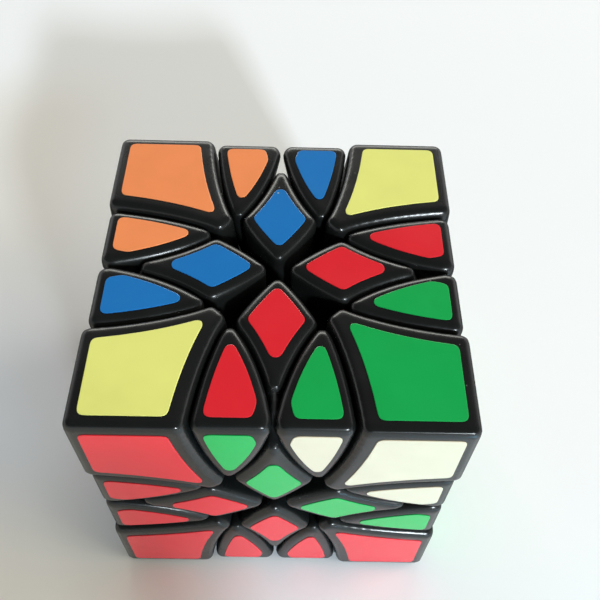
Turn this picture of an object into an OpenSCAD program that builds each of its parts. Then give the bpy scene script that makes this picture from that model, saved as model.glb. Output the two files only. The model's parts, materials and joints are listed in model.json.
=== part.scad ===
// Corner-turning puzzle cube. A layer turns about each of the eight body diagonals at two depths:
// the shallow layer is a corner with its three wings, the deep layer adds three petal pieces and
// the three wings beyond them. Every wall between two pieces is a surface of revolution about a
// diagonal, so each layer can turn.
// Frame: origin at the centre of the core, +Z up, the front face looks to -Y, the right face to +X.

/* [Cube] */
// Edge of the cube over the plastic
cube_edge = 65; // [60:0.5:78]
// Bevel along the twelve cube edges, measured on a face
edge_bevel = 0.8; // [0.2:0.1:1.6]
// Running gap between pieces that turn against each other
running_gap = 0.35; // [0.25:0.05:0.6]
// Wall of the hollow corner caps
cap_wall = 2; // [1.4:0.1:2.6]

/* [Cuts] */
// Length of the two wings of a cube edge together, with the slot between them
wing_span = 27.3; // [21:0.1:32]
// Half angle of the deep cut
deep_flare = 44; // [42:0.1:49]
// Half angle of the shallow cut
shallow_flare = 50; // [47:0.1:52]
// Width of the slot between two wings at the middle of a cube edge
wing_slot = 2.1; // [1.2:0.1:2.9]
// Distance on a face from the cube edge to the outer end of a petal
petal_setback = 8.9; // [5:0.1:11]
// Depth taken off the inner sides of the petals for the channels round a face centre
channel = 0.8; // [0:0.1:1.2]
// Depth of the faces of wings and petals below the faces of the corners
face_sink = 0.5; // [0:0.1:0.8]

/* [Mechanism] */
// Radius of the core ball
core_radius = 13; // [11.5:0.1:14]
// Depth of the eight flats on the core
flat_depth = 0.5; // [0.2:0.1:1]
// Thickness of the petal feet under the corner flanges
foot_thickness = 3.6; // [2.8:0.1:4.4]
// Thickness of the round corner flanges
flange_thickness = 2.8; // [2:0.1:3.6]
// Half angle of a corner flange seen from the centre
flange_angle = 22; // [19.5:0.5:26]
// Height of the wings' underside above the corner flanges
wing_lift = 3.4; // [2:0.1:5]
// Radius at which the wing tongues start
tongue_radius = 28; // [26:0.1:29]
// Thickness of the wing tongues
tongue_thickness = 2.4; // [1.4:0.1:2.6]
// Reach of the wing tongues into the petal pieces
tongue_reach = 1.2; // [0.6:0.1:1.8]
// Radius at which a corner cap sits on its foot
cap_seat_radius = 26.5; // [25:0.1:27.5]
// Radius of a corner stem
stem_radius = 3; // [2.4:0.1:3.2]

/* [Hardware] */
// Radius of the screw shank
screw_radius = 1.25; // [1:0.05:1.5]
// Radius of the screw head
head_radius = 2.5; // [2:0.1:2.9]
// Height of the screw head
head_height = 1.8; // [1.2:0.1:2.4]
// Depth that the screws reach into the core
screw_bite = 7.5; // [5:0.1:8.5]
// Radius of the pocket for spring, washer and screw head
pocket_radius = 3.2; // [3:0.05:3.6]
// Thickness of the floor under the spring, above the underside of the flange
pocket_floor = 2; // [1.4:0.1:2.6]
// Wire thickness of the spring
wire = 0.6; // [0.4:0.05:0.7]
// Mean radius of the spring coil
coil_radius = 2.2; // [2.1:0.05:2.4]
// Length of the fitted spring
spring_length = 4.6; // [3.6:0.1:5]
// Turns of the spring
coil_turns = 4; // [3:1:5]
// Outer radius of the washer
washer_radius = 2.8; // [2.4:0.1:2.95]
// Thickness of the washer
washer_thickness = 0.5; // [0.3:0.1:0.8]

/* [Stickers] */
// Thickness of the stickers
sticker_thickness = 0.15; // [0.1:0.05:0.3]
// Plastic left bare round a sticker
sticker_margin = 1.9; // [1.4:0.1:2.4]
// Distance on a face from the cube edge to the outer end of a petal's sticker
petal_sticker_setback = 13.5; // [10:0.1:16]

/* [Hidden] */
$fn = 96;
half = cube_edge / 2;
half_gap = running_gap / 2;
plastic = [0.06, 0.06, 0.065];
steel = [0.7, 0.71, 0.73];
spring_steel = [0.5, 0.51, 0.54];
hub_grey = [0.86, 0.86, 0.84];
foot_grey = [0.1, 0.1, 0.11];
// Angles between two neighbouring diagonals and between a diagonal and a face's normal
diagonal_angle = acos(1 / 3);
face_angle = acos(1 / sqrt(3));
// The shallow cuts of two neighbours cross short of their edge, and each wing ends at the other's cut
slot_height = (2 * half - wing_slot / 2) / sqrt(3);
slot_radius = sqrt(wing_slot * wing_slot / 4 + 2 * half * half - slot_height * slot_height);
slot_apex = slot_height - slot_radius / tan(shallow_flare);
shallow_apex = slot_apex + half_gap / sin(shallow_flare);
// The deep cut crosses the cube edge at the far end of the two wings
cross_along = -wing_span / 2;
cross_height = (cross_along + 2 * half) / sqrt(3);
cross_radius = sqrt(cross_along * cross_along + 2 * half * half - cross_height * cross_height);
deep_apex = cross_height - cross_radius / tan(deep_flare);
// Radial stack from the core outwards
foot_base = core_radius + running_gap;
foot_top = foot_base + foot_thickness;
flange_base = foot_top + running_gap;
flange_top = flange_base + flange_thickness;
petal_base = flange_top + running_gap;
wing_floor = flange_top + wing_lift;
lens_angle = diagonal_angle - flange_angle;
petal_reach = (2 * half - petal_setback) / sqrt(2);
core_flat = core_radius - flat_depth;
stem_base = core_flat + running_gap;
pocket_base = flange_base + pocket_floor;
washer_base = pocket_base + spring_length;
head_base = washer_base + washer_thickness;
slip = 0.1;
seam = 0.05;
// Extent of the cut cones
cone_far = 2 * cube_edge;
cone_near = 3;

// The eight corners as sign triples, and the words for their places
CORNERS = [for (z = [1, -1]) for (y = [-1, 1]) for (x = [-1, 1]) [x, y, z]];
AXES = [0, 1, 2];
function flip(c, a) = [for (i = AXES) i == a ? -c[i] : c[i]];
function word(c, a) = a == 2 ? (c.z > 0 ? "top" : "bottom")
    : a == 1 ? (c.y < 0 ? "front" : "back")
    : (c.x < 0 ? "left" : "right");
function corner_word(c) = str(word(c, 2), "_", word(c, 1), "_", word(c, 0));
function edge_word(c, a) = a == 0 ? str(word(c, 2), "_", word(c, 1))
    : a == 1 ? str(word(c, 2), "_", word(c, 0))
    : str(word(c, 1), "_", word(c, 0));
function wing_name(c, a) = str("wing_", edge_word(c, a), "_", word(c, a));
function petals_name(c, a) = str("petals_", edge_word(c, a));
// Four corners turn on their diagonals, the other four stay with the core
function turns(c) = c.x * c.y * c.z > 0;
TURNING = [for (c = CORNERS) if (turns(c)) c];
STAYING = [for (c = CORNERS) if (!turns(c)) c];

// Turns +Z onto a direction, spin turns it about that direction first
module along(v, spin = 0) {
    rotate([0, acos(v.z / norm(v)), atan2(v.y, v.x)])
        rotate([0, 0, spin])
            children();
}

// Every piece is modelled at the upper corner or at the upright edge between these two corners
UPPER = [1, 1, 1];
LOWER = [1, 1, -1];

// Carries a piece from there to corner c and to the cube edge along axis a
module place(c, a) {
    b = turns(c) ? (a + 1) % 3 : (a + 2) % 3;
    d = 3 - a - b;
    multmatrix([for (i = AXES) [i == b ? c[i] : 0, i == d ? c[i] : 0, i == a ? c[i] : 0, 0]])
        children();
}

// Cone about a diagonal, its apex on the diagonal at the given distance from the centre
module cone(v, half_angle, apex, spin = 0) {
    along(v, spin)
        translate([0, 0, apex + cone_near])
            cylinder(h = cone_far, r1 = cone_near * tan(half_angle),
                r2 = (cone_near + cone_far) * tan(half_angle));
}

// Hollow ball between two radii
module shell(inner, outer) {
    difference() {
        sphere(r = outer);
        sphere(r = inner);
    }
}

// The cube with bevelled edges, its faces sunk by a depth
module envelope(sink = 0) {
    edge = cube_edge - 2 * sink;
    bevel_width = (edge - edge_bevel) * sqrt(2);
    intersection() {
        cube(edge, center = true);
        rotate([0, 0, 45])
            cube([bevel_width, bevel_width, 2 * cube_edge], center = true);
        rotate([45, 0, 0])
            cube([2 * cube_edge, bevel_width, bevel_width], center = true);
        rotate([0, 45, 0])
            cube([bevel_width, 2 * cube_edge, bevel_width], center = true);
    }
}

// Inside of the deep cut about a diagonal, made smaller on all sides by inset and more by set_in
// round the face centres
module deep_zone(v, inset, spin = 0, set_in = 0) {
    intersection() {
        cone(v, deep_flare, deep_apex + inset / sin(deep_flare), spin);
        cone(v, face_angle, (inset + set_in) / sin(face_angle), spin);
    }
}

// Inside of the shallow cut about a diagonal, made smaller on all sides by inset
module shallow_cone(v, inset, spin = 0) {
    cone(v, shallow_flare, shallow_apex + inset / sin(shallow_flare), spin);
}

// Inside of the shallow cut with the ring that stands out of it
module shallow_zone(v, inset, spin = 0) {
    shallow_cone(v, inset, spin);
    intersection() {
        cone(v, shallow_flare, shallow_apex - (tongue_reach - inset) / sin(shallow_flare), spin);
        shell(tongue_radius + inset, tongue_radius + tongue_thickness - inset);
    }
}

// Room that a deep layer leaves for the corner flanges beside it
module flange_room(v, spin = 0) {
    difference() {
        shell(foot_top, petal_base);
        cone(v, lens_angle, running_gap / sin(lens_angle), spin);
    }
}

// Wing beside the upper corner on the upright edge
module wing() {
    color(plastic)
        difference() {
            intersection() {
                envelope(face_sink);
                deep_zone(LOWER, half_gap);
                shallow_zone(UPPER, half_gap, 180);
            }
            shallow_cone(LOWER, -half_gap);
            sphere(r = wing_floor);
        }
}

// Petal piece under the upright edge
module petals() {
    color(plastic)
        difference() {
            intersection() {
                cube(cube_edge - 2 * face_sink, center = true);
                deep_zone(UPPER, half_gap, 180, channel);
                deep_zone(LOWER, half_gap, 0, channel);
                along(UPPER + LOWER)
                    translate([0, 0, petal_reach - cube_edge])
                        cube(2 * cube_edge, center = true);
            }
            shallow_zone(UPPER, -half_gap, 180);
            shallow_zone(LOWER, -half_gap);
            flange_room(UPPER, 180);
            flange_room(LOWER);
            sphere(r = foot_base);
        }
}

// The three deep layers that bound the upper corner
module beside_corner(grow) {
    for (a = AXES)
        deep_zone(flip(UPPER, a), -grow);
}

// Stem, flange and neck of the upper corner
module corner_foot() {
    color(foot_grey)
        difference() {
            union() {
                difference() {
                    intersection() {
                        shallow_cone(UPPER, half_gap);
                        shell(flange_base + pocket_floor / 2, cap_seat_radius);
                    }
                    beside_corner(half_gap);
                }
                intersection() {
                    cone(UPPER, flange_angle, 0);
                    shell(flange_base, flange_top);
                }
                along(UPPER)
                    translate([0, 0, stem_base])
                        cylinder(h = pocket_base - stem_base, r = stem_radius);
            }
            along(UPPER)
                cylinder(h = cube_edge, r = screw_radius + slip);
            along(UPPER)
                translate([0, 0, pocket_base])
                    cylinder(h = cube_edge, r = pocket_radius);
        }
}

// Hollow cap of the upper corner
module corner_cap() {
    color(plastic)
        difference() {
            intersection() {
                envelope();
                shallow_cone(UPPER, half_gap);
            }
            beside_corner(half_gap);
            sphere(r = cap_seat_radius + seam);
            difference() {
                intersection() {
                    cube(cube_edge - 2 * cap_wall, center = true);
                    shallow_cone(UPPER, half_gap + cap_wall);
                }
                beside_corner(half_gap + cap_wall);
            }
        }
}

// Core ball with flats and screw holes
module core() {
    color(hub_grey)
        difference() {
            sphere(r = core_radius);
            for (c = CORNERS)
                along(c)
                    translate([0, 0, core_flat])
                        cylinder(h = core_radius, r = core_radius);
            for (c = CORNERS)
                along(c)
                    translate([0, 0, core_flat - screw_bite - slip])
                        cylinder(h = core_radius, r = screw_radius + seam);
        }
}

module axis_screws() {
    slot_width = head_radius / 3;
    color(steel)
        for (c = CORNERS)
            along(c)
                difference() {
                    union() {
                        translate([0, 0, core_flat - screw_bite])
                            cylinder(h = head_base - core_flat + screw_bite, r = screw_radius);
                        translate([0, 0, head_base])
                            cylinder(h = head_height, r = head_radius);
                    }
                    translate([0, 0, head_base + head_height])
                        cube([1.4 * head_radius, slot_width, head_height], center = true);
                    translate([0, 0, head_base + head_height])
                        cube([slot_width, 1.4 * head_radius, head_height], center = true);
                }
}

// Square wire carried along a helix
module coil(radius, thick, length, turns) {
    steps = 9 * turns;
    rise = length - thick;
    section = [[-1, -1], [1, -1], [1, 1], [-1, 1]] * thick / 2;
    points = [for (i = [0:steps]) for (s = section)
        [(radius + s.x) * cos(360 * turns * i / steps),
         (radius + s.x) * sin(360 * turns * i / steps),
         thick / 2 + rise * i / steps + s.y]];
    sides = [for (i = [0:steps - 1]) for (k = [0:3])
        [4 * i + 4 + k, 4 * i + 4 + (k + 1) % 4, 4 * i + (k + 1) % 4, 4 * i + k]];
    ends = [[0, 1, 2, 3], [for (k = [3, 2, 1, 0]) 4 * steps + k]];
    polyhedron(points = points, faces = concat(sides, ends));
}

module axis_springs() {
    color(spring_steel)
        for (c = CORNERS)
            along(c)
                translate([0, 0, pocket_base])
                    coil(coil_radius, wire, spring_length, coil_turns);
}

module axis_washers() {
    color(steel)
        for (c = CORNERS)
            along(c)
                translate([0, 0, washer_base])
                    difference() {
                        cylinder(h = washer_thickness, r = washer_radius);
                        translate([0, 0, -washer_thickness])
                            cylinder(h = 3 * washer_thickness, r = screw_radius + slip);
                    }
}

// Thin plate over the face that the upper corner shows along axis a, the face sunk by a depth
module sticker_plate(a, margin = sticker_margin, sink = 0) {
    field = cube_edge - 2 * (margin + sink);
    size = [for (i = AXES) i == a ? sticker_thickness : field];
    centre = [for (i = AXES) i == a ? half - sink + sticker_thickness / 2 : 0];
    translate(centre)
        cube(size, center = true);
}

// The three stickers of the upper corner
module corner_stickers() {
    for (a = AXES)
        difference() {
            intersection() {
                sticker_plate(a);
                shallow_cone(UPPER, half_gap + sticker_margin);
            }
            for (b = AXES)
                if (b != a)
                    deep_zone(flip(UPPER, b), -half_gap - sticker_margin);
        }
}

// The two stickers of the wing beside the upper corner on the upright edge
module wing_stickers() {
    for (a = [0, 1])
        difference() {
            intersection() {
                sticker_plate(a, sink = face_sink);
                shallow_cone(UPPER, half_gap + sticker_margin, 180);
                deep_zone(LOWER, half_gap + sticker_margin);
            }
            shallow_cone(LOWER, -half_gap - sticker_margin);
        }
}

// The two stickers of the petal piece under the upright edge
module petal_stickers() {
    for (a = [0, 1])
        difference() {
            intersection() {
                sticker_plate(a, petal_sticker_setback - face_sink, face_sink);
                deep_zone(UPPER, half_gap + sticker_margin, 180, channel);
                deep_zone(LOWER, half_gap + sticker_margin, 0, channel);
            }
            shallow_cone(UPPER, -half_gap - sticker_margin, 180);
            shallow_cone(LOWER, -half_gap - sticker_margin);
        }
}

// Stickers of a turning corner and its own three wings
module stickers_tip(c) {
    color("gold") {
        place(c, 2)
            corner_stickers();
        for (a = AXES)
            place(c, a)
                wing_stickers();
    }
}

// Stickers of the three petal pieces and the three far wings of a deep layer
module stickers_deep(c) {
    color("red")
        for (a = AXES) {
            place(c, a)
                petal_stickers();
            place(flip(c, a), a)
                wing_stickers();
        }
}

// Stickers of the corners that stay with the core
module stickers_fixed() {
    color("ivory")
        for (c = STAYING)
            place(c, 2)
                corner_stickers();
}

core();
axis_screws();
axis_springs();
axis_washers();
for (c = STAYING) place(c, 2) corner_foot();  // corner_feet_fixed
for (c = STAYING) place(c, 2) corner_cap();  // corner_caps_fixed
for (c = TURNING) {
    place(c, 2) corner_foot();
    place(c, 2) corner_cap();
    stickers_tip(c);
    stickers_deep(c);
}
for (c = CORNERS)
    for (a = AXES)
        place(c, a) wing();
for (c = TURNING)
    for (a = AXES)
        place(c, a) petals();
stickers_fixed();
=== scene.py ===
"""Looks of the corner-turning puzzle cube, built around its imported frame."""

import json
import math
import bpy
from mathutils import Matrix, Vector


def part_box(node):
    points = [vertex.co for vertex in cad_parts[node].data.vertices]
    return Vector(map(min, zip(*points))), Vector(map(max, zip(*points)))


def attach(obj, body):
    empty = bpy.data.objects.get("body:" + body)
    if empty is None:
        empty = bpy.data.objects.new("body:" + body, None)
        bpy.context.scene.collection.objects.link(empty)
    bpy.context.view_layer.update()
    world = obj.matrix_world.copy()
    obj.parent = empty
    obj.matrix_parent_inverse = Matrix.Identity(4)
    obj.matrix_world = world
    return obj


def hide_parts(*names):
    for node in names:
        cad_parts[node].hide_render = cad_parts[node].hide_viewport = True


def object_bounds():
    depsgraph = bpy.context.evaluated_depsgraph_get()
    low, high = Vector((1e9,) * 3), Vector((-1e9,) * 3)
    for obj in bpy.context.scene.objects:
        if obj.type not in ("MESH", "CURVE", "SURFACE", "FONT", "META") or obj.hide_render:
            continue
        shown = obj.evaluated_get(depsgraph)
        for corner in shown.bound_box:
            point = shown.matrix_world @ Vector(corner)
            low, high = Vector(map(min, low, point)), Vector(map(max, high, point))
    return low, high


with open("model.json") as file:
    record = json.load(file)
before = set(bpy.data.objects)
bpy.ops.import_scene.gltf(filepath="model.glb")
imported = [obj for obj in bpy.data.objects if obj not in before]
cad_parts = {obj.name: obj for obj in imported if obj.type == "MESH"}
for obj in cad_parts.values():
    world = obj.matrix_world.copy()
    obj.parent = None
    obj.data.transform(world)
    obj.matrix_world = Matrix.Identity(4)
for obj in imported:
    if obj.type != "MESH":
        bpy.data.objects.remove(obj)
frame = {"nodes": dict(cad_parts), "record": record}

from types import SimpleNamespace

import bpy
from bpy.props import FloatProperty, FloatVectorProperty, IntProperty, PointerProperty
from mathutils import Matrix, Vector

bl_info = {
    "name": "Corner-turning puzzle cube",
    "version": (1, 0, 0),
    "blender": (4, 5, 0),
    "location": "View3D > Sidebar > Puzzle cube",
    "description": "Rounded pieces, stickers, finishes and stage of a puzzle cube",
    "category": "Object",
}

CAD_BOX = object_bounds()
BODIES = frame["record"]["behaviour"]["bodies"]
BODY_OF = {node: body for body, nodes in BODIES.items() for node in nodes}
CAP_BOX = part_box("corner_caps_fixed")
MM = 0.001
AXES = (0, 1, 2)
UPPER = Vector((1, 1, 1))
LOWER = Vector((1, 1, -1))
CORNERS = [(x, y, z) for z in (1, -1) for y in (-1, 1) for x in (-1, 1)]
WORDS = (("left", "right"), ("front", "back"), ("bottom", "top"))
FACE_ANGLE = math.acos(1 / math.sqrt(3))
DIAGONAL_ANGLE = math.acos(1 / 3)

# Sticker colours, one letter a face: corners top or bottom, front or back, left or right,
# edges in the order of the two words in their names
CORNER_KEY = {
    "top_front_left": "YRB", "top_front_right": "GWO",
    "top_back_left": "OWB", "top_back_right": "YGR",
    "bottom_front_left": "WRB", "bottom_front_right": "WRG",
    "bottom_back_left": "YBO", "bottom_back_right": "OYG",
}
WING_KEY = {
    "top_front_left": "RG", "top_front_right": "GW", "top_back_left": "OY", "top_back_right": "BY",
    "top_left_front": "BW", "top_left_back": "OB", "top_right_front": "GO", "top_right_back": "RW",
    "front_left_top": "RB", "front_left_bottom": "RY",
    "front_right_top": "WB", "front_right_bottom": "GY",
    "back_left_top": "GW", "back_left_bottom": "OW",
    "back_right_top": "WO", "back_right_bottom": "GY",
    "bottom_front_left": "WR", "bottom_front_right": "YR",
    "bottom_back_left": "BO", "bottom_back_right": "BR",
    "bottom_left_front": "YO", "bottom_left_back": "BY",
    "bottom_right_front": "RG", "bottom_right_back": "OG",
}
PETAL_KEY = {
    "top_front": "RG", "top_back": "BY", "top_left": "BW", "top_right": "RW",
    "front_left": "RB", "front_right": "GY", "back_left": "YO", "back_right": "OB",
    "bottom_front": "YR", "bottom_back": "WG", "bottom_left": "OW", "bottom_right": "GO",
}
COLOUR_WORDS = {
    "R": "red", "B": "blue", "G": "green", "Y": "yellow", "O": "orange", "W": "white",
}

# Cutting tools: a cone's ends along its axis, in millimetres and in half edges, and a ball's grid
CONE_START = 3
CONE_END = 3.4
BALL_SEGMENTS = 128
BALL_RINGS = 64

# Rounded pieces: smoothing after the first and the last remesh, and the share of faces kept
SMOOTHING = 0.5
FIRST_SMOOTHINGS = 2
LAST_SMOOTHINGS = 8
CAP_FACES_KEPT = 0.4
WING_FACES_KEPT = 0.45
PETAL_FACES_KEPT = 0.4
SHARP_ANGLE = math.radians(38)

# Stickers, lengths in millimetres: half height of the plug, outline and bevelled cut edge
PLUG_HALF_HEIGHT = 3
OUTLINE_WELD = 0.02
OUTLINE_SMOOTHINGS = 4
OUTLINE_STRAIGHT = math.radians(1.2)
EDGE_BEVEL = 0.1
EDGE_SEGMENTS = 2
PRINTED_NORMAL = 0.95

# Finishes: roughness, what smears, polish, dust and tarnish add to it, refraction and dust colours
PLASTIC_ROUGHNESS = 0.27
VINYL_ROUGHNESS = 0.21
CUT_EDGE_ROUGHNESS = 0.4
HUB_ROUGHNESS = 0.5
SMEARS_ADD = 0.06
POLISH_ADDS = -0.05
DUST_ADDS = 0.4
HUB_SMEARS_ADD = -0.12
TARNISH_ADDS = 0.15
PLASTIC_IOR = 1.54
VINYL_IOR = 1.5
PLASTIC_DUST = (0.09, 0.09, 0.085)
VINYL_DUST = (0.5, 0.5, 0.48)
# Share of the pale colour in a sticker's cut edge, which is partly its own pale vinyl and partly a
# painted highlight
EDGE_HIGHLIGHT_SHARE = 0.65

# Lamps: name, direction from the cube, distance, size, power, colour and whether it is mirrored
LAMPS = (
    ("window", (58, -134, 66), 2.4, (0.2, 0.2), 48.5, (0.845, 0.945, 1.0), True),
    ("side_softbox", (1.0, -0.05, 0.62), 2.4, (2.24, 2.24), 46.0, (1.0, 0.98, 0.865), False),
    ("back_strip", (0.0, 1.0, 0.42), 1.1, (1.1, 0.3), 4.8, (1.0, 0.99, 0.92), True),
    ("front_fill", (0.11, -0.17, -0.024), 0.2, (0.06, 0.012), 0.18, (0.27, 0.72, 1.0), False),
)

# Cloths before the window: name, left and right end, density, and the sizes and place they share
FLAGS = (("flag_near", 0.046, 0.068, 0.5), ("flag_wide", -0.06, 0.046, 0.26))
FLAG_HALF_THICKNESS = 0.0005
FLAG_HALF_HEIGHT = 0.043
FLAG_Y = -0.2165
FLAG_Z = 0.073

# Floor in metres: where it fades out, and ramps from bare to a painted shadow before and beside the
# cube
FLOOR_RADIUS = 1.2
FLOOR_SEGMENTS = 96
FLOOR_FADE = (1.1, 0.45)
FLOOR_CLOUD = 9.0
BEFORE_X = (0.008, -0.032)
BEFORE_Y = (0.004, -0.04)
BESIDE_X = (-0.045, -0.08)
BESIDE_NEAR_Y = (0.02, 0.07)
BESIDE_FAR_Y = (0.15, 0.11)
BESIDE_SHADE = 0.45
FLOOR_ROUGHNESS = 0.8
FLOOR_SHINE = 0.1

# The rims mirror the floor dimmed where it lies behind this line
DIMMED_Y = (-0.034, -0.03)
DIMMED_SHARE = 0.25

# World: its light and what surfaces mirror of it, in front, behind and overhead, and what is seen
FRONT_TO_BACK = (-0.6, 0.6)
LIT_HEIGHT = (0.2, 0.72)
LIT_FRONT = (0.28, 0.28, 0.25)
LIT_BACK = (0.80, 0.79, 0.67)
LIT_OVERHEAD = (0.12, 0.12, 0.112)
MIRRORED_HEIGHT = (0.28, 0.52)
MIRRORED_FRONT = (0.5, 0.52, 0.53)
MIRRORED_BACK = (1.0, 1.0, 1.0)
MIRRORED_OVERHEAD = (0.05, 0.05, 0.05)
SEEN_WORLD = (0.96, 0.97, 0.98)

# Camera of the photograph, in metres, and its lens in millimetres
CAMERA_PLACE = (0.0022442, -0.0833571, 0.1362335)
CAMERA_AZIMUTH = math.radians(-1.2838)
CAMERA_ELEVATION = math.radians(53.8713)
CAMERA_ROLL = math.radians(2.174)
CAMERA_NEAR = 0.005
LENS = 44.924
SENSOR = 36


def word(corner, axis):
    return WORDS[axis][corner[axis] > 0]


def corner_word(corner):
    return "_".join(word(corner, axis) for axis in (2, 1, 0))


def edge_axes(axis):
    return ((2, 1), (2, 0), (1, 0))[axis]


def edge_word(corner, axis):
    return "_".join(word(corner, other) for other in edge_axes(axis))


def flip(corner, axis):
    return tuple(-s if i == axis else s for i, s in enumerate(corner))


def turns(corner):
    return corner[0] * corner[1] * corner[2] > 0


def face_axes(corner, axis):
    """Axes on which the first and second face of a piece made at the upper corner come to lie."""
    first = (axis + 1) % 3 if turns(corner) else (axis + 2) % 3
    return first, 3 - axis - first


def place(corner, axis):
    """Carries a piece from the upper corner to a corner and to the cube edge along an axis."""
    carried = Matrix.Diagonal((0, 0, 0, 1))
    for column, row in enumerate((*face_axes(corner, axis), axis)):
        carried[row][column] = corner[row]
    return carried


class PuzzleCubeSizes(bpy.types.PropertyGroup):
    """Sizes of the puzzle cube."""

    half_edge: FloatProperty(
        name="Half edge", description="From the centre to a plastic face",
        default=CAP_BOX[1].z, unit="LENGTH", precision=5)
    half_gap: FloatProperty(
        name="Half gap", description="Half of the running gap between two pieces",
        default=0.175 * MM, unit="LENGTH", precision=6)
    rim_radius: FloatProperty(
        name="Rim radius", description="Rounding of the rims",
        default=1.3 * MM, unit="LENGTH", precision=5)
    wing_span: FloatProperty(
        name="Wing span", description="Length of the two wings of a cube edge together",
        default=27.3 * MM, unit="LENGTH", precision=5)
    wing_slot: FloatProperty(
        name="Wing slot", description="Slot between two wings at the middle of a cube edge",
        default=2.1 * MM, unit="LENGTH", precision=5)
    deep_flare: FloatProperty(
        name="Deep flare", description="Half angle of the deep cut",
        default=math.radians(44), subtype="ANGLE")
    shallow_flare: FloatProperty(
        name="Shallow flare", description="Half angle of the shallow cut",
        default=math.radians(50), subtype="ANGLE")
    flange_angle: FloatProperty(
        name="Flange angle", description="Half angle of a corner flange seen from the centre",
        default=math.radians(22), subtype="ANGLE")
    petal_setback: FloatProperty(
        name="Petal setback", description="From the cube edge to the outer end of a petal",
        default=8.9 * MM, unit="LENGTH", precision=5)
    channel: FloatProperty(
        name="Channel", description="Taken off the inner sides of the petals round a face centre",
        default=0.8 * MM, unit="LENGTH", precision=5)
    face_sink: FloatProperty(
        name="Face sink", description="Depth of wing and petal faces below the corner faces",
        default=0.5 * MM, unit="LENGTH", precision=5)
    foot_base: FloatProperty(
        name="Foot base", description="Radius of the underside of the petal feet",
        default=13.35 * MM, unit="LENGTH", precision=5)
    foot_top: FloatProperty(
        name="Foot top", description="Radius of the top of the petal feet",
        default=16.95 * MM, unit="LENGTH", precision=5)
    petal_base: FloatProperty(
        name="Petal base", description="Radius at which a petal piece widens above the flanges",
        default=20.45 * MM, unit="LENGTH", precision=5)
    wing_floor: FloatProperty(
        name="Wing floor", description="Radius of the underside of the wings",
        default=23.5 * MM, unit="LENGTH", precision=5)
    tongue_radius: FloatProperty(
        name="Tongue radius", description="Radius at which the wing tongues start",
        default=28 * MM, unit="LENGTH", precision=5)
    tongue_thickness: FloatProperty(
        name="Tongue thickness", description="Thickness of the wing tongues",
        default=2.4 * MM, unit="LENGTH", precision=5)
    tongue_reach: FloatProperty(
        name="Tongue reach", description="Reach of the wing tongues into the petal pieces",
        default=1.2 * MM, unit="LENGTH", precision=5)
    cap_seat: FloatProperty(
        name="Cap seat", description="Radius at which a corner cap sits on its foot",
        default=26.55 * MM, unit="LENGTH", precision=5)
    cap_wall: FloatProperty(
        name="Cap wall", description="Wall of the hollow corner caps",
        default=2 * MM, unit="LENGTH", precision=5)
    sticker_thickness: FloatProperty(
        name="Sticker thickness", description="Thickness of the stickers",
        default=0.149 * MM, unit="LENGTH", precision=6)
    sticker_margin: FloatProperty(
        name="Sticker margin", description="Plastic left bare round a sticker",
        default=2.0 * MM, unit="LENGTH", precision=5)
    corner_inset: FloatProperty(
        name="Corner inset", description="More plastic left bare beside the cube edges of a corner",
        default=0.2 * MM, unit="LENGTH", precision=5)
    sticker_ease: FloatProperty(
        name="Sticker ease",
        description="More plastic left bare beside the deep cut and the wing slot",
        default=0.7 * MM, unit="LENGTH", precision=5)
    sticker_corner: FloatProperty(
        name="Sticker corner", description="Rounding of the sticker corners",
        default=0.8 * MM, unit="LENGTH", precision=5)
    petal_sticker_setback: FloatProperty(
        name="Petal sticker setback", description="From the cube edge to a petal's sticker",
        default=13.5 * MM, unit="LENGTH", precision=5)
    fine_voxel: FloatProperty(
        name="Fine voxel", description="Grain of the first remesh of a piece",
        default=0.2 * MM, unit="LENGTH", precision=6)
    voxel: FloatProperty(
        name="Voxel", description="Grain of the last remesh of a piece",
        default=0.3 * MM, unit="LENGTH", precision=6)
    segments: IntProperty(
        name="Segments", description="Segments of the round cutting tools", default=192, min=24)


class PuzzleCubeColours(bpy.types.PropertyGroup):
    """Colours of the puzzle cube."""

    plastic: FloatVectorProperty(
        name="Plastic", description="Black plastic of the pieces",
        default=(0.0085, 0.0092, 0.009), subtype="COLOR", min=0, max=1)
    hub: FloatVectorProperty(
        name="Hub", description="Plastic of the core", default=(0.72, 0.72, 0.69),
        subtype="COLOR", min=0, max=1)
    steel: FloatVectorProperty(
        name="Steel", description="Screws and washers", default=(0.62, 0.63, 0.65),
        subtype="COLOR", min=0, max=1)
    spring: FloatVectorProperty(
        name="Spring", description="Spring wire", default=(0.45, 0.46, 0.49),
        subtype="COLOR", min=0, max=1)
    red: FloatVectorProperty(
        name="Red", description="Red stickers", default=(0.76, 0.021, 0.033),
        subtype="COLOR", min=0, max=1)
    blue: FloatVectorProperty(
        name="Blue", description="Blue stickers", default=(0.013, 0.175, 0.52),
        subtype="COLOR", min=0, max=1)
    green: FloatVectorProperty(
        name="Green", description="Green stickers", default=(0.008, 0.39, 0.082),
        subtype="COLOR", min=0, max=1)
    yellow: FloatVectorProperty(
        name="Yellow", description="Yellow stickers", default=(0.82, 0.82, 0.23),
        subtype="COLOR", min=0, max=1)
    orange: FloatVectorProperty(
        name="Orange", description="Orange stickers", default=(0.92, 0.285, 0.105),
        subtype="COLOR", min=0, max=1)
    white: FloatVectorProperty(
        name="White", description="Cream white stickers", default=(0.69, 0.585, 0.425),
        subtype="COLOR", min=0, max=1)
    # Pale cut edge of the stickers: partly their own pale vinyl, partly a painted highlight along
    # the edge
    cut_edge: FloatVectorProperty(
        name="Cut edge", description="Pale cut edge of the stickers", default=(0.78, 0.78, 0.76),
        subtype="COLOR", min=0, max=1)
    floor: FloatVectorProperty(
        name="Floor", description="Pale floor", default=(0.90, 0.91, 0.955),
        subtype="COLOR", min=0, max=1)
    # Painted shadow: the floor's colour where a shadow is painted before the front left and beside
    # the left of the cube
    floor_shade: FloatVectorProperty(
        name="Floor shade", description="Pale floor where it is shaded at the front left",
        default=(0.78, 0.73, 0.67), subtype="COLOR", min=0, max=1)


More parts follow.
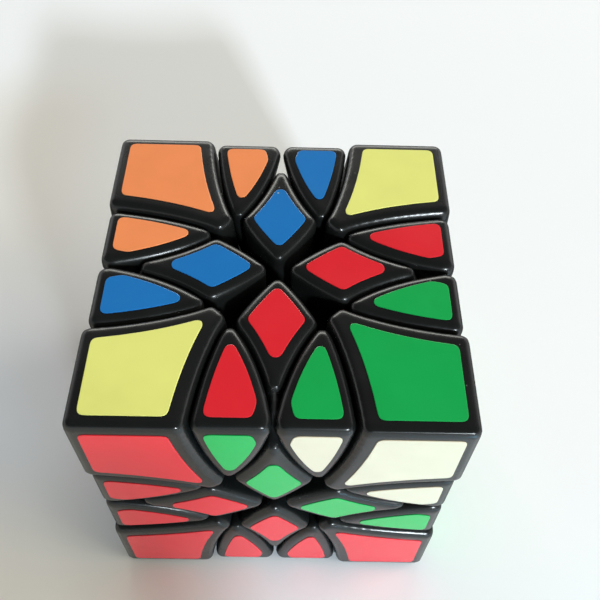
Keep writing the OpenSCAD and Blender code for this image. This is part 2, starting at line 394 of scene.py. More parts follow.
def workshop(sizes):
    """The sizes in millimetres, in which the pieces are modelled."""
    bench = SimpleNamespace()
    for key in sizes.__annotations__:
        value = getattr(sizes, key)
        length = sizes.bl_rna.properties[key].unit == "LENGTH"
        setattr(bench, key, value / MM if length else value)
    return bench


def only(piece):
    """Makes a piece the one selected and active object."""
    if bpy.context.mode != "OBJECT":
        bpy.ops.object.mode_set(mode="OBJECT")
    bpy.ops.object.select_all(action="DESELECT")
    piece.select_set(True)
    bpy.context.view_layer.objects.active = piece


def settle(name):
    """Puts the active object's place into its mesh and names it."""
    bpy.ops.object.transform_apply(location=True, rotation=True, scale=True)
    tool = bpy.context.object
    tool.name = name
    return tool


def block(half_sizes, centre=(0, 0, 0), turn=0):
    bpy.ops.object.select_all(action="DESELECT")
    bpy.ops.mesh.primitive_cube_add(
        size=2, location=centre, rotation=(0, 0, turn), scale=half_sizes)
    return settle("block")


def ball(radius):
    bpy.ops.object.select_all(action="DESELECT")
    bpy.ops.mesh.primitive_uv_sphere_add(
        segments=BALL_SEGMENTS, ring_count=BALL_RINGS, radius=radius)
    return settle("ball")


def cone(sizes, direction, half_angle, apex):
    """Cone about a diagonal, its apex at a distance from the centre."""
    axis = Vector(direction).normalized()
    near, far = CONE_START, CONE_END * sizes.half_edge
    slope = math.tan(half_angle)
    bpy.ops.object.select_all(action="DESELECT")
    bpy.ops.mesh.primitive_cone_add(
        vertices=sizes.segments, radius1=near * slope, radius2=far * slope, depth=far - near,
        location=axis * (apex + (near + far) / 2), rotation=axis.to_track_quat("Z", "Y").to_euler())
    return settle("cone")


def change(piece, kind, **settings):
    """Adds a modifier to a piece and applies it."""
    only(piece)
    modifier = piece.modifiers.new(kind.lower(), kind)
    for key, value in settings.items():
        setattr(modifier, key, value)
    bpy.ops.object.modifier_apply(modifier=modifier.name)
    return piece


def carve(piece, tool, operation):
    """Joins a piece with a cutting tool, which is used up."""
    change(piece, "BOOLEAN", operation=operation, solver="MANIFOLD", object=tool)
    bpy.data.objects.remove(tool)
    if not piece.data.polygons:
        raise RuntimeError(f"{operation} left nothing of {piece.name}")
    return piece


def keep(piece, tool):
    return carve(piece, tool, "INTERSECT")


def cut(piece, tool):
    return carve(piece, tool, "DIFFERENCE")


def join(piece, tool):
    return carve(piece, tool, "UNION")


def deep_zone(sizes, direction, inset, set_in=0):
    """Inside of the deep cut about a diagonal, made smaller by an inset, more so in the middle."""
    along = -sizes.wing_span / 2
    height = (along + 2 * sizes.half_edge) / math.sqrt(3)
    radius = math.sqrt(along ** 2 + 2 * sizes.half_edge ** 2 - height ** 2)
    apex = height - radius / math.tan(sizes.deep_flare)
    zone = cone(sizes, direction, sizes.deep_flare, apex + inset / math.sin(sizes.deep_flare))
    return keep(zone, cone(sizes, direction, FACE_ANGLE, (inset + set_in) / math.sin(FACE_ANGLE)))


def shallow_cone(sizes, direction, inset):
    """Inside of the shallow cut about a diagonal, made smaller by an inset."""
    along = -sizes.wing_slot / 2
    height = (along + 2 * sizes.half_edge) / math.sqrt(3)
    radius = math.sqrt(along ** 2 + 2 * sizes.half_edge ** 2 - height ** 2)
    apex = height - radius / math.tan(sizes.shallow_flare)
    moved = (inset + sizes.half_gap) / math.sin(sizes.shallow_flare)
    return cone(sizes, direction, sizes.shallow_flare, apex + moved)


def shell(inner, outer):
    return cut(ball(outer), ball(inner))


def rounded(sizes, piece, radius, voxel):
    """Grows a piece by a radius on all sides, so that its edges become round."""
    change(piece, "REMESH", mode="VOXEL", voxel_size=sizes.fine_voxel)
    change(piece, "SMOOTH", factor=SMOOTHING, iterations=FIRST_SMOOTHINGS)
    change(piece, "DISPLACE", strength=radius, mid_level=0)
    change(piece, "REMESH", mode="VOXEL", voxel_size=voxel)
    return change(piece, "SMOOTH", factor=SMOOTHING, iterations=LAST_SMOOTHINGS)


def thinned(piece, share):
    """Takes faces away where the surface is flat, until a share of them is left."""
    return change(piece, "DECIMATE", decimate_type="COLLAPSE", ratio=share)


def corner_cap(sizes):
    """Hollow cap of the upper corner."""
    rim, gap = sizes.rim_radius, sizes.half_gap
    cap = block([sizes.half_edge - rim] * 3)
    keep(cap, shallow_cone(sizes, UPPER, gap + rim))
    for axis in AXES:
        cut(cap, deep_zone(sizes, flip(UPPER, axis), -gap - rim))
    thinned(rounded(sizes, cap, rim, sizes.voxel), CAP_FACES_KEPT)
    hollow = block([sizes.half_edge - sizes.cap_wall] * 3)
    keep(hollow, shallow_cone(sizes, UPPER, gap + sizes.cap_wall))
    for axis in AXES:
        cut(hollow, deep_zone(sizes, flip(UPPER, axis), -gap - sizes.cap_wall))
    cut(cap, hollow)
    return cut(cap, ball(sizes.cap_seat))


def tongue_ring(sizes, direction, grow):
    """Ring about a diagonal that the wings reach into the petal pieces with."""
    reach = sizes.tongue_reach + grow
    ring = shallow_cone(sizes, direction, -reach)
    inner = sizes.tongue_radius - grow
    return keep(ring, shell(inner, sizes.tongue_radius + sizes.tongue_thickness + grow))


def wing(sizes):
    """Wing beside the upper corner on the upright edge."""
    rim, gap = sizes.rim_radius, sizes.half_gap
    arch = block([sizes.half_edge - sizes.face_sink - rim] * 3)
    keep(arch, deep_zone(sizes, LOWER, gap + rim))
    keep(arch, shallow_cone(sizes, UPPER, gap + rim))
    cut(arch, shallow_cone(sizes, LOWER, -gap - rim))
    cut(arch, ball(sizes.wing_floor + rim))
    thinned(rounded(sizes, arch, rim, sizes.voxel), WING_FACES_KEPT)
    tongue = tongue_ring(sizes, UPPER, -gap)
    keep(tongue, deep_zone(sizes, LOWER, gap + rim))
    keep(tongue, block([sizes.half_edge - sizes.face_sink - rim] * 3))
    return join(arch, tongue)


def petals(sizes):
    """Petal piece under the upright edge."""
    rim, gap = sizes.rim_radius, sizes.half_gap
    pair = block([sizes.half_edge - sizes.face_sink - rim] * 3)
    for corner in (UPPER, LOWER):
        keep(pair, deep_zone(sizes, corner, gap + rim, sizes.channel))
        cut(pair, shallow_cone(sizes, corner, -gap - rim))
    reach = (2 * sizes.half_edge - sizes.petal_setback) / math.sqrt(2) - rim
    outwards = (UPPER + LOWER).normalized()
    keep(pair, block([sizes.half_edge] * 3, outwards * (reach - sizes.half_edge), math.pi / 4))
    lens = DIAGONAL_ANGLE - sizes.flange_angle
    for corner in (UPPER, LOWER):
        room = shell(sizes.foot_top - rim, sizes.petal_base + rim)
        lens_apex = (2 * gap + rim) / math.sin(lens)
        cut(room, cone(sizes, corner, lens, lens_apex))
        cut(pair, room)
    cut(pair, ball(sizes.foot_base + rim))
    thinned(rounded(sizes, pair, rim, sizes.voxel), PETAL_FACES_KEPT)
    for corner in (UPPER, LOWER):
        cut(pair, tongue_ring(sizes, corner, gap))
    return pair


def finish_shading(piece):
    only(piece)
    bpy.ops.object.shade_smooth_by_angle(angle=SHARP_ANGLE)


def copied(master, name, carried, body, node, slot, *materials):
    """A copy of a master piece at its own place, riding on its body."""
    mesh = master.data.copy()
    mesh.transform(carried @ Matrix.Scale(MM, 4))
    mesh.materials.clear()
    for material in materials:
        mesh.materials.append(material)
    piece = bpy.data.objects.new(name, mesh)
    mesh.name = name
    bpy.context.scene.collection.objects.link(piece)
    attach(piece, body)
    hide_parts(node)
    return piece


def new_group(name, inputs, outputs):
    """Empty shader node group with named value inputs and outputs."""
    group = bpy.data.node_groups.new(name, "ShaderNodeTree")
    for label, default in inputs:
        socket = group.interface.new_socket(label, in_out="INPUT", socket_type="NodeSocketFloat")
        socket.default_value = default
    for label in outputs:
        group.interface.new_socket(label, in_out="OUTPUT", socket_type="NodeSocketFloat")
    ins = group.nodes.new("NodeGroupInput")
    outs = group.nodes.new("NodeGroupOutput")
    return group, ins, outs


def node(tree, kind, **settings):
    made = tree.nodes.new(kind)
    for key, value in settings.items():
        setattr(made, key, value)
    return made


def math_node(tree, operation, first, second=None, third=None, clamp=False):
    made = node(tree, "ShaderNodeMath", operation=operation, use_clamp=clamp)
    for socket, value in zip(made.inputs, (first, second, third)):
        if value is None:
            continue
        if isinstance(value, (int, float)):
            socket.default_value = value
        else:
            tree.links.new(value, socket)
    return made.outputs[0]


def noise(tree, coords, scale, detail=2.0, roughness=0.5):
    made = node(tree, "ShaderNodeTexNoise")
    made.inputs["Detail"].default_value = detail
    made.inputs["Roughness"].default_value = roughness
    tree.links.new(coords, made.inputs["Vector"])
    if isinstance(scale, (int, float)):
        made.inputs["Scale"].default_value = scale
    else:
        tree.links.new(scale, made.inputs["Scale"])
    return made.outputs["Fac"]


def ramp(tree, value, low, high):
    """Rises smoothly from 0 to 1 as a value goes from low to high."""
    made = node(tree, "ShaderNodeMapRange", clamp=True, interpolation_type="SMOOTHSTEP")
    made.inputs["From Min"].default_value = low
    made.inputs["From Max"].default_value = high
    tree.links.new(value, made.inputs["Value"])
    return made.outputs["Result"]


def moulded_grain():
    """Fine uneven skin of a moulded or printed surface, as a height."""
    group, ins, outs = new_group(
        "Moulded grain", [("Scale", 900.0), ("Waviness", 0.5)], ["Height", "Unevenness"])
    coords = node(group, "ShaderNodeTexCoord").outputs["Object"]
    fine = noise(group, coords, ins.outputs["Scale"], detail=3.0, roughness=0.6)
    broad = noise(group, coords, 140.0)
    height = math_node(group, "MULTIPLY_ADD", broad, ins.outputs["Waviness"], fine)
    group.links.new(height, outs.inputs["Height"])
    group.links.new(broad, outs.inputs["Unevenness"])
    return group


def dust_specks():
    """Scattered light specks, thicker where a cloud of dust lies."""
    group, ins, outs = new_group(
        "Dust specks", [("Scale", 700.0), ("Size", 0.12), ("Cloud", 0.56)], ["Mask"])
    coords = node(group, "ShaderNodeTexCoord").outputs["Object"]
    cells = node(group, "ShaderNodeTexVoronoi", feature="F1")
    group.links.new(coords, cells.inputs["Vector"])
    group.links.new(ins.outputs["Scale"], cells.inputs["Scale"])
    near = math_node(group, "LESS_THAN", cells.outputs["Distance"], ins.outputs["Size"])
    chance = node(group, "ShaderNodeSeparateColor")
    group.links.new(cells.outputs["Color"], chance.inputs["Color"])
    cloud = noise(group, coords, 90.0, detail=4.0, roughness=0.65)
    spread = math_node(group, "MULTIPLY_ADD", chance.outputs["Red"], 0.34, cloud)
    thick = math_node(group, "GREATER_THAN", spread, math_node(
        group, "ADD", ins.outputs["Cloud"], 0.3))
    group.links.new(math_node(group, "MULTIPLY", near, thick), outs.inputs["Mask"])
    return group


def rim_polish():
    """Band along the rims of the faces, where hands polish the plastic."""
    group, ins, outs = new_group(
        "Rim polish", [("Half Edge", 0.0325), ("Width", 0.0014)], ["Mask", "Depth"])
    coords = node(group, "ShaderNodeTexCoord").outputs["Object"]
    sides = node(group, "ShaderNodeSeparateXYZ")
    group.links.new(coords, sides.inputs["Vector"])
    reach = [math_node(group, "ABSOLUTE", side) for side in sides.outputs]
    outer = math_node(group, "MAXIMUM", math_node(group, "MAXIMUM", *reach[:2]), reach[2])
    depth = math_node(group, "SUBTRACT", ins.outputs["Half Edge"], outer)
    band = math_node(group, "DIVIDE", depth, ins.outputs["Width"])
    rise = ramp(group, band, 0.01, 0.12)
    fall = ramp(group, band, 1.0, 0.35)
    group.links.new(math_node(group, "MULTIPLY", rise, fall), outs.inputs["Mask"])
    group.links.new(depth, outs.inputs["Depth"])
    return group


def hand_smears():
    """Broad soft smears left by handling."""
    group, ins, outs = new_group("Hand smears", [("Scale", 60.0)], ["Mask"])
    coords = node(group, "ShaderNodeTexCoord").outputs["Object"]
    drawn = node(group, "ShaderNodeMapping")
    drawn.inputs["Scale"].default_value = (1.0, 1.6, 1.3)
    drawn.inputs["Rotation"].default_value = (0.4, 0.7, 0.2)
    group.links.new(coords, drawn.inputs["Vector"])
    cloud = noise(
        group, drawn.outputs["Vector"], ins.outputs["Scale"], detail=3.0, roughness=0.55)
    group.links.new(ramp(group, cloud, 0.42, 0.68), outs.inputs["Mask"])
    return group


GROUP_MAKERS = {
    "Moulded grain": moulded_grain, "Dust specks": dust_specks,
    "Rim polish": rim_polish, "Hand smears": hand_smears,
}


def effect(tree, name, **values):
    """Places a shared effect in a material with its own values."""
    made = node(tree, "ShaderNodeGroup")
    made.node_tree = bpy.data.node_groups.get(name) or GROUP_MAKERS[name]()
    for key, value in values.items():
        made.inputs[key].default_value = value
    return made


def blank_material(name):
    """Material with a bare glossy shader."""
    material = bpy.data.materials.new(name)
    material.use_nodes = True
    shader = material.node_tree.nodes["Principled BSDF"]
    return material, material.node_tree, shader


def mix_colour(tree, factor, first, second):
    made = node(tree, "ShaderNodeMix", data_type="RGBA")
    tree.links.new(factor, made.inputs["Factor"])
    for socket, value in zip((made.inputs[6], made.inputs[7]), (first, second)):
        if isinstance(value, bpy.types.NodeSocket):
            tree.links.new(value, socket)
        else:
            socket.default_value = (*value, 1)
    return made.outputs[2]


def bump(tree, shader, height, strength, distance):
    made = node(tree, "ShaderNodeBump")
    made.inputs["Strength"].default_value = strength
    made.inputs["Distance"].default_value = distance
    tree.links.new(height, made.inputs["Height"])
    tree.links.new(made.outputs["Normal"], shader.inputs["Normal"])


def scaled(colour, factor):
    return tuple(min(1.0, part * factor) for part in colour)


def black_plastic(colours):
    """Moulded black plastic: fine skin, rims polished by hands, dust specks scattered in clouds."""
    found = bpy.data.materials.get("black_plastic_skin")
    if found:
        return found
    material, tree, shader = blank_material("black_plastic_skin")
    grain = effect(tree, "Moulded grain", Scale=1500.0, Waviness=0.35)
    dust = effect(tree, "Dust specks", Scale=620.0, Size=0.1, Cloud=0.54)
    rims = effect(tree, "Rim polish", Width=0.0013)
    smears = effect(tree, "Hand smears", Scale=75.0)
    tone = mix_colour(tree, grain.outputs["Unevenness"], scaled(colours.plastic, 0.75),
                      scaled(colours.plastic, 1.3))
    dusty = mix_colour(tree, dust.outputs["Mask"], tone, PLASTIC_DUST)
    tree.links.new(dusty, shader.inputs["Base Color"])
    smeared = math_node(
        tree, "MULTIPLY_ADD", smears.outputs["Mask"], SMEARS_ADD, PLASTIC_ROUGHNESS)
    polished = math_node(tree, "MULTIPLY_ADD", rims.outputs["Mask"], POLISH_ADDS, smeared)
    rough = math_node(tree, "MULTIPLY_ADD", dust.outputs["Mask"], DUST_ADDS, polished, clamp=True)
    tree.links.new(rough, shader.inputs["Roughness"])
    shader.inputs["IOR"].default_value = PLASTIC_IOR
    bump(tree, shader, grain.outputs["Height"], strength=0.12, distance=0.00003)
    return material


def sticker_vinyl(name, colour):
    """Printed vinyl: even colour with faint mottling, soft gloss and a slight orange peel."""
    label = f"sticker_vinyl_{name}"
    found = bpy.data.materials.get(label)
    if found:
        return found
    material, tree, shader = blank_material(label)
    grain = effect(tree, "Moulded grain", Scale=420.0, Waviness=1.2)
    smears = effect(tree, "Hand smears", Scale=48.0)
    dust = effect(tree, "Dust specks", Scale=330.0, Size=0.07, Cloud=0.62)
    tone = mix_colour(tree, grain.outputs["Unevenness"], scaled(colour, 0.93), scaled(colour, 1.06))
    dusty = mix_colour(tree, dust.outputs["Mask"], tone, VINYL_DUST)
    tree.links.new(dusty, shader.inputs["Base Color"])
    rough = math_node(tree, "MULTIPLY_ADD", smears.outputs["Mask"], SMEARS_ADD, VINYL_ROUGHNESS)
    tree.links.new(rough, shader.inputs["Roughness"])
    shader.inputs["IOR"].default_value = VINYL_IOR
    bump(tree, shader, grain.outputs["Height"], strength=0.1, distance=0.00003)
    return material


def edge_vinyl_with_highlight(name, colour, colours):
    """Cut edge of a sticker, paler than its print: partly its own pale vinyl, partly a painted
    highlight.
    """
    label = f"sticker_cut_edge_{name}"
    found = bpy.data.materials.get(label)
    if found:
        return found
    pale = tuple((1 - EDGE_HIGHLIGHT_SHARE) * part + EDGE_HIGHLIGHT_SHARE * edge
                 for part, edge in zip(colour, colours.cut_edge))
    material, tree, shader = blank_material(label)
    grain = effect(tree, "Moulded grain", Scale=2400.0, Waviness=0.2)
    tone = mix_colour(tree, grain.outputs["Unevenness"], scaled(pale, 0.85), pale)
    tree.links.new(tone, shader.inputs["Base Color"])
    shader.inputs["Roughness"].default_value = CUT_EDGE_ROUGHNESS
    bump(tree, shader, grain.outputs["Height"], strength=0.1, distance=0.00002)
    return material


def hub_plastic(colours):
    """Plain pale plastic of the core."""
    material, tree, shader = blank_material("hub_plastic_skin")
    grain = effect(tree, "Moulded grain", Scale=1100.0, Waviness=0.5)
    smears = effect(tree, "Hand smears", Scale=120.0)
    tone = mix_colour(tree, grain.outputs["Unevenness"], scaled(colours.hub, 0.9), colours.hub)
    tree.links.new(tone, shader.inputs["Base Color"])
    rough = math_node(
        tree, "MULTIPLY_ADD", smears.outputs["Mask"], HUB_SMEARS_ADD, HUB_ROUGHNESS)
    tree.links.new(rough, shader.inputs["Roughness"])
    bump(tree, shader, grain.outputs["Height"], strength=0.15, distance=0.00004)
    return material


def plated_steel(name, colour, roughness):
    """Plated steel of the small hardware, with faint turning marks and tarnish."""
    material, tree, shader = blank_material(name)
    grain = effect(tree, "Moulded grain", Scale=2600.0, Waviness=0.8)
    smears = effect(tree, "Hand smears", Scale=260.0)
    tone = mix_colour(tree, smears.outputs["Mask"], colour, scaled(colour, 0.7))
    tree.links.new(tone, shader.inputs["Base Color"])
    shader.inputs["Metallic"].default_value = 1.0
    rough = math_node(
        tree, "MULTIPLY_ADD", grain.outputs["Unevenness"], TARNISH_ADDS, roughness)
    tree.links.new(rough, shader.inputs["Roughness"])
    bump(tree, shader, grain.outputs["Height"], strength=0.15, distance=0.00002)
    return material


def discard(piece):
    mesh = piece.data
    bpy.data.objects.remove(piece)
    bpy.data.meshes.remove(mesh)


class PUZZLE_OT_corner_caps(bpy.types.Operator):
    """Models the hollow corner cap once and copies it to the eight corners"""

    bl_idname = "puzzle_cube.corner_caps"
    bl_label = "Corner caps"

    def execute(self, context):
        skin = black_plastic(context.scene.puzzle_colours)
        master = corner_cap(workshop(context.scene.puzzle_sizes))
        finish_shading(master)
        for corner in CORNERS:
            label = corner_word(corner)
            cap_node = f"corner_cap_{label}" if turns(corner) else "corner_caps_fixed"
            copied(master, f"cap_{label}", place(corner, 2), BODY_OF[cap_node], cap_node,
                   "black_plastic", skin)
        discard(master)
        return {"FINISHED"}


class PUZZLE_OT_wings(bpy.types.Operator):
    """Models the arch-shaped wing once and copies it to both ends of the twelve edges"""

    bl_idname = "puzzle_cube.wings"
    bl_label = "Wings"

    def execute(self, context):
        skin = black_plastic(context.scene.puzzle_colours)
        master = wing(workshop(context.scene.puzzle_sizes))
        finish_shading(master)
        for corner in CORNERS:
            for axis in AXES:
                label = f"{edge_word(corner, axis)}_{word(corner, axis)}"
                copied(master, f"arch_{label}", place(corner, axis), BODY_OF[f"wing_{label}"],
                       f"wing_{label}", "black_plastic", skin)
        discard(master)
        return {"FINISHED"}


class PUZZLE_OT_petal_pieces(bpy.types.Operator):
    """Models the piece with two petals once and copies it under the twelve edges"""

    bl_idname = "puzzle_cube.petal_pieces"
    bl_label = "Petal pieces"

    def execute(self, context):
        skin = black_plastic(context.scene.puzzle_colours)
        master = petals(workshop(context.scene.puzzle_sizes))
        finish_shading(master)
        for corner in CORNERS:
            for axis in AXES:
                if not turns(corner):
                    continue
                label = f"petals_{edge_word(corner, axis)}"
                copied(master, f"twin_{label}", place(corner, axis), BODY_OF[label], label,
                       "black_plastic", skin)
        discard(master)
        return {"FINISHED"}


def sticker_block(sizes, axis, inset):
    """Block that stands through the face on an axis, as wide as the cube less an inset."""
    halves = [sizes.half_edge - inset] * 3
    halves[axis] = PLUG_HALF_HEIGHT
    centre = [0.0] * 3
    centre[axis] = sizes.half_edge
    return block(halves, centre)


def corner_sticker(sizes, axis):
    inset = sizes.sticker_margin + sizes.sticker_corner
    plug = sticker_block(sizes, axis, inset + sizes.corner_inset)
    keep(plug, shallow_cone(sizes, UPPER, sizes.half_gap + inset))
    for other in AXES:
        if other != axis:
            cut(plug, deep_zone(
                sizes, flip(UPPER, other), -sizes.half_gap - inset - sizes.sticker_ease))
    return plug


def wing_sticker(sizes, axis):
    inset = sizes.sticker_margin + sizes.sticker_corner
    plug = sticker_block(sizes, axis, sizes.face_sink + inset)
    keep(plug, shallow_cone(sizes, UPPER, sizes.half_gap + inset))
    cut(plug, shallow_cone(sizes, LOWER, -sizes.half_gap - inset - sizes.sticker_ease))
    return keep(plug, deep_zone(sizes, LOWER, sizes.half_gap + inset))


def petal_sticker(sizes, axis):
    inset = sizes.sticker_margin + sizes.sticker_corner
    plug = sticker_block(sizes, axis, sizes.petal_sticker_setback + sizes.sticker_corner)
    for corner in (UPPER, LOWER):
        keep(plug, deep_zone(sizes, corner, sizes.half_gap + inset, sizes.channel))
        cut(plug, shallow_cone(sizes, corner, -sizes.half_gap - inset))
    return plug


def sticker(sizes, plug, axis, face):
    """Turns a plug through a face into a thin sticker with round corners and a soft edge."""
    rounded(sizes, plug, sizes.sticker_corner, sizes.fine_voxel)
    upwards = Vector([1.0 if i == axis else 0.0 for i in AXES])
    only(plug)
    bpy.ops.object.mode_set(mode="EDIT")
    bpy.ops.mesh.select_mode(type="VERT")
    bpy.ops.mesh.select_all(action="SELECT")
    bpy.ops.mesh.bisect(plane_co=upwards * face, plane_no=upwards,
                        clear_inner=True, clear_outer=True)
    bpy.ops.mesh.select_all(action="SELECT")
    bpy.ops.mesh.remove_doubles(threshold=OUTLINE_WELD)
    bpy.ops.mesh.vertices_smooth(factor=SMOOTHING, repeat=OUTLINE_SMOOTHINGS)
    bpy.ops.mesh.edge_face_add()
    bpy.ops.mesh.dissolve_limited(angle_limit=OUTLINE_STRAIGHT)
    bpy.ops.mesh.select_all(action="SELECT")
    bpy.ops.mesh.extrude_region_move(
        TRANSFORM_OT_translate={"value": upwards * sizes.sticker_thickness})
    bpy.ops.mesh.bevel(offset=EDGE_BEVEL, segments=EDGE_SEGMENTS, affect="EDGES")
    bpy.ops.mesh.select_all(action="SELECT")
    bpy.ops.mesh.normals_make_consistent(inside=False)
    bpy.ops.object.mode_set(mode="OBJECT")
    # Faces off the print get the paler edge material, which is partly a painted highlight
    for polygon in plug.data.polygons:
        polygon.material_index = 0 if abs(polygon.normal[axis]) > PRINTED_NORMAL else 1
    bpy.ops.object.shade_flat()
    return plug


class PUZZLE_OT_stickers(bpy.types.Operator):
    """Cuts each shape of sticker once and puts ninety-six of them on the faces"""

    bl_idname = "puzzle_cube.stickers"
    bl_label = "Stickers"

    def execute(self, context):
        sizes, colours = workshop(context.scene.puzzle_sizes), context.scene.puzzle_colours
        sunk = sizes.half_edge - sizes.face_sink
        plain = {
            "corner": sticker(sizes, corner_sticker(sizes, 2), 2, sizes.half_edge),
            "wing_0": sticker(sizes, wing_sticker(sizes, 0), 0, sunk),
            "wing_1": sticker(sizes, wing_sticker(sizes, 1), 1, sunk),
            "petal_0": sticker(sizes, petal_sticker(sizes, 0), 0, sunk),
            "petal_1": sticker(sizes, petal_sticker(sizes, 1), 1, sunk),
        }

        def put(shape, name, carried, sheet, letter):
            tint = COLOUR_WORDS[letter]
            colour = tuple(getattr(colours, tint))
            copied(plain[shape], f"sticker_{name}", carried, BODY_OF[sheet], sheet,
                   f"sticker_{tint}", sticker_vinyl(tint, colour),
                   edge_vinyl_with_highlight(tint, colour, colours))

        for corner in CORNERS:
            label = corner_word(corner)
            sheet = f"stickers_tip_{label}" if turns(corner) else "stickers_fixed"
            for axis, letter in zip((2, 1, 0), CORNER_KEY[label]):
                name = f"corner_{label}_{word(corner, axis)}"
                put("corner", name, place(corner, axis), sheet, letter)
            for axis in AXES:
                edge = edge_word(corner, axis)
                wing_label = f"{edge}_{word(corner, axis)}"
                deep_label = corner_word(flip(corner, axis))
                tip = f"stickers_tip_{label}" if turns(corner) else f"stickers_deep_{deep_label}"
                for side, face in enumerate(face_axes(corner, axis)):
                    letter = WING_KEY[wing_label][edge_axes(axis).index(face)]
                    name = f"wing_{wing_label}_{word(corner, face)}"
                    put(f"wing_{side}", name, place(corner, axis), tip, letter)
                    if turns(corner):
                        letter = PETAL_KEY[edge][edge_axes(axis).index(face)]
                        name = f"petal_{edge}_{word(corner, face)}"
                        put(f"petal_{side}", name, place(corner, axis),
                            f"stickers_deep_{label}", letter)
        for master in plain.values():
            discard(master)
        return {"FINISHED"}


class PUZZLE_OT_mechanism(bpy.types.Operator):
    """Gives the core, the corner feet and the small hardware their finishes"""

    bl_idname = "puzzle_cube.mechanism"
    bl_label = "Mechanism"

    def execute(self, context):
        colours = context.scene.puzzle_colours
        finishes = {
            "core": hub_plastic(colours),
            "axis_screws": plated_steel("screw_steel_skin", tuple(colours.steel), 0.22),
            "axis_washers": plated_steel("washer_steel_skin", tuple(colours.steel), 0.28),
            "axis_springs": plated_steel("spring_steel_skin", tuple(colours.spring), 0.3),
        }
        for name, solid in frame["nodes"].items():
            if name in finishes or name.startswith(("corner_foot", "corner_feet")):
                solid.data.materials.clear()
                solid.data.materials.append(finishes.get(name) or black_plastic(colours))
        return {"FINISHED"}


def area_lamp(name, direction, distance, size, power, colour, mirrored):
    """Soft lamp that looks at the cube from a direction."""
    lamp = bpy.data.lights.new(name, "AREA")
    lamp.shape = "RECTANGLE"
    lamp.size, lamp.size_y = size
    lamp.energy = power
    lamp.color = colour
    holder = bpy.data.objects.new(name, lamp)
    bpy.context.scene.collection.objects.link(holder)
    holder.location = Vector(direction).normalized() * distance
    holder.rotation_euler = Vector(direction).to_track_quat("Z", "Y").to_euler()
    holder.visible_glossy = mirrored


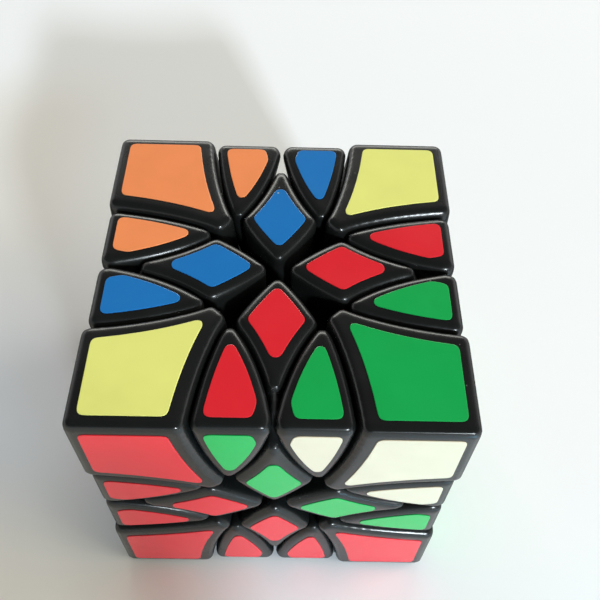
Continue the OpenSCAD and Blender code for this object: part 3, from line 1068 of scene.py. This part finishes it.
class PUZZLE_OT_stage(bpy.types.Operator):
    """Sets up the floor, the soft light and the camera"""

    bl_idname = "puzzle_cube.stage"
    bl_label = "Stage"

    def execute(self, context):
        scene, colours = context.scene, context.scene.puzzle_colours
        scene.view_settings.view_transform = "Standard"
        self.floor(colours)
        self.world(scene)
        for lamp in LAMPS:
            area_lamp(*lamp)
        for flag in FLAGS:
            self.flag(*flag)
        self.camera(scene)
        return {"FINISHED"}

    def floor(self, colours):
        bpy.ops.object.select_all(action="DESELECT")
        bpy.ops.mesh.primitive_circle_add(
            vertices=FLOOR_SEGMENTS, radius=FLOOR_RADIUS, fill_type="NGON",
            location=(0, 0, CAD_BOX[0].z))
        ground = settle("floor")
        material, tree, shader = blank_material("pale_floor")
        coords = node(tree, "ShaderNodeTexCoord").outputs["Object"]
        length = node(tree, "ShaderNodeVectorMath", operation="LENGTH")
        tree.links.new(coords, length.inputs[0])
        near = ramp(tree, length.outputs["Value"], *FLOOR_FADE)
        cloud = noise(tree, coords, FLOOR_CLOUD)
        tone = mix_colour(tree, cloud, scaled(colours.floor, 0.985), tuple(colours.floor))
        sides = node(tree, "ShaderNodeSeparateXYZ")
        tree.links.new(coords, sides.inputs["Vector"])
        # Painted shadow: the floor is coloured darker before the front left of the cube and,
        # fainter, beside its left
        leftwards = ramp(tree, sides.outputs["X"], *BEFORE_X)
        frontwards = ramp(tree, sides.outputs["Y"], *BEFORE_Y)
        before = math_node(tree, "MULTIPLY", leftwards, frontwards)
        beyond = ramp(tree, sides.outputs["X"], *BESIDE_X)
        nearer = ramp(tree, sides.outputs["Y"], *BESIDE_FAR_Y)
        farther = ramp(tree, sides.outputs["Y"], *BESIDE_NEAR_Y)
        patch = math_node(tree, "MULTIPLY", nearer, farther)
        beside = math_node(tree, "MULTIPLY", beyond, patch)
        faint = math_node(tree, "MULTIPLY", beside, BESIDE_SHADE)
        shade = math_node(tree, "MAXIMUM", before, faint)
        shaded = mix_colour(tree, shade, tone, tuple(colours.floor_shade))
        mirrored = node(tree, "ShaderNodeLightPath").outputs["Is Glossy Ray"]
        behind = ramp(tree, sides.outputs["Y"], *DIMMED_Y)
        dimmed = math_node(tree, "MULTIPLY", mirrored, behind)
        seen = mix_colour(tree, dimmed, shaded, scaled(colours.floor, DIMMED_SHARE))
        tree.links.new(seen, shader.inputs["Base Color"])
        tree.links.new(near, shader.inputs["Alpha"])
        shader.inputs["Roughness"].default_value = FLOOR_ROUGHNESS
        shader.inputs["Specular IOR Level"].default_value = FLOOR_SHINE
        ground.data.materials.append(material)

    def flag(self, name, left, right, density):
        """Thin cloth between the window and the left of the cube, seen only by its shadow."""
        half_sizes = ((right - left) / 2, FLAG_HALF_THICKNESS, FLAG_HALF_HEIGHT)
        cloth = block(half_sizes, ((left + right) / 2, FLAG_Y, FLAG_Z))
        cloth.name = name
        material, _, shader = blank_material(f"{name}_cloth")
        shader.inputs["Alpha"].default_value = density
        cloth.data.materials.append(material)
        cloth.visible_camera = cloth.visible_glossy = False
        cloth.visible_diffuse = cloth.visible_transmission = False

    def world(self, scene):
        """Pale round the horizon, dark overhead, and nearly white where the camera sees it."""
        scene.world = scene.world or bpy.data.worlds.new("studio")
        scene.world.use_nodes = True
        tree = scene.world.node_tree
        back = tree.nodes["Background"]
        sides = node(tree, "ShaderNodeSeparateXYZ")
        tree.links.new(node(tree, "ShaderNodeTexCoord").outputs["Generated"], sides.inputs[0])
        height = ramp(tree, sides.outputs["Z"], *LIT_HEIGHT)
        behind = ramp(tree, sides.outputs["Y"], *FRONT_TO_BACK)
        around = mix_colour(tree, behind, LIT_FRONT, LIT_BACK)
        lit = mix_colour(tree, height, around, LIT_OVERHEAD)
        horizon = mix_colour(tree, behind, MIRRORED_FRONT, MIRRORED_BACK)
        rise = ramp(tree, sides.outputs["Z"], *MIRRORED_HEIGHT)
        mirrored = mix_colour(tree, rise, horizon, MIRRORED_OVERHEAD)
        path = node(tree, "ShaderNodeLightPath").outputs
        glossy = math_node(tree, "MAXIMUM", path["Is Glossy Ray"], path["Is Transmission Ray"])
        tone = mix_colour(tree, glossy, lit, mirrored)
        seen = mix_colour(tree, path["Is Camera Ray"], tone, SEEN_WORLD)
        tree.links.new(seen, back.inputs["Color"])
        back.inputs["Strength"].default_value = 1.0

    def camera(self, scene):
        level = math.cos(CAMERA_ELEVATION)
        ahead = Vector((-math.sin(CAMERA_AZIMUTH) * level, math.cos(CAMERA_AZIMUTH) * level,
                        -math.sin(CAMERA_ELEVATION)))
        right = ahead.cross(Vector((0, 0, 1))).normalized()
        up = right.cross(ahead)
        cosine, sine = math.cos(CAMERA_ROLL), math.sin(CAMERA_ROLL)
        turned_right = cosine * right + sine * up
        turned_up = cosine * up - sine * right
        lens = bpy.data.cameras.new("camera")
        lens.sensor_width = SENSOR
        lens.lens = LENS
        lens.clip_start = CAMERA_NEAR
        holder = bpy.data.objects.new("camera", lens)
        scene.collection.objects.link(holder)
        holder.matrix_world = Matrix((turned_right, turned_up, -ahead)).transposed().to_4x4()
        holder.location = CAMERA_PLACE
        scene.camera = holder


class PUZZLE_PT_pieces(bpy.types.Panel):
    """Lists the steps that dress the cube"""

    bl_idname = "PUZZLE_PT_pieces"
    bl_label = "Puzzle cube"
    bl_space_type = "VIEW_3D"
    bl_region_type = "UI"
    bl_category = "Puzzle cube"

    def draw(self, context):
        for step in STEPS:
            self.layout.operator(step.bl_idname)
        for group in (context.scene.puzzle_sizes, context.scene.puzzle_colours):
            for key in group.__annotations__:
                self.layout.prop(group, key)


STEPS = (
    PUZZLE_OT_corner_caps, PUZZLE_OT_wings, PUZZLE_OT_petal_pieces, PUZZLE_OT_stickers,
    PUZZLE_OT_mechanism, PUZZLE_OT_stage,
)
CLASSES = (PuzzleCubeSizes, PuzzleCubeColours, *STEPS, PUZZLE_PT_pieces)


def register():
    for item in CLASSES:
        bpy.utils.register_class(item)
    bpy.types.Scene.puzzle_sizes = PointerProperty(type=PuzzleCubeSizes)
    bpy.types.Scene.puzzle_colours = PointerProperty(type=PuzzleCubeColours)


def unregister():
    del bpy.types.Scene.puzzle_colours
    del bpy.types.Scene.puzzle_sizes
    for item in reversed(CLASSES):
        bpy.utils.unregister_class(item)


def main():
    register()
    bpy.ops.object.select_all(action="DESELECT")
    bpy.ops.puzzle_cube.corner_caps()
    bpy.ops.puzzle_cube.wings()
    bpy.ops.puzzle_cube.petal_pieces()
    bpy.ops.puzzle_cube.stickers()
    bpy.ops.puzzle_cube.mechanism()
    bpy.ops.puzzle_cube.stage()


if __name__ == "__main__":
    main()
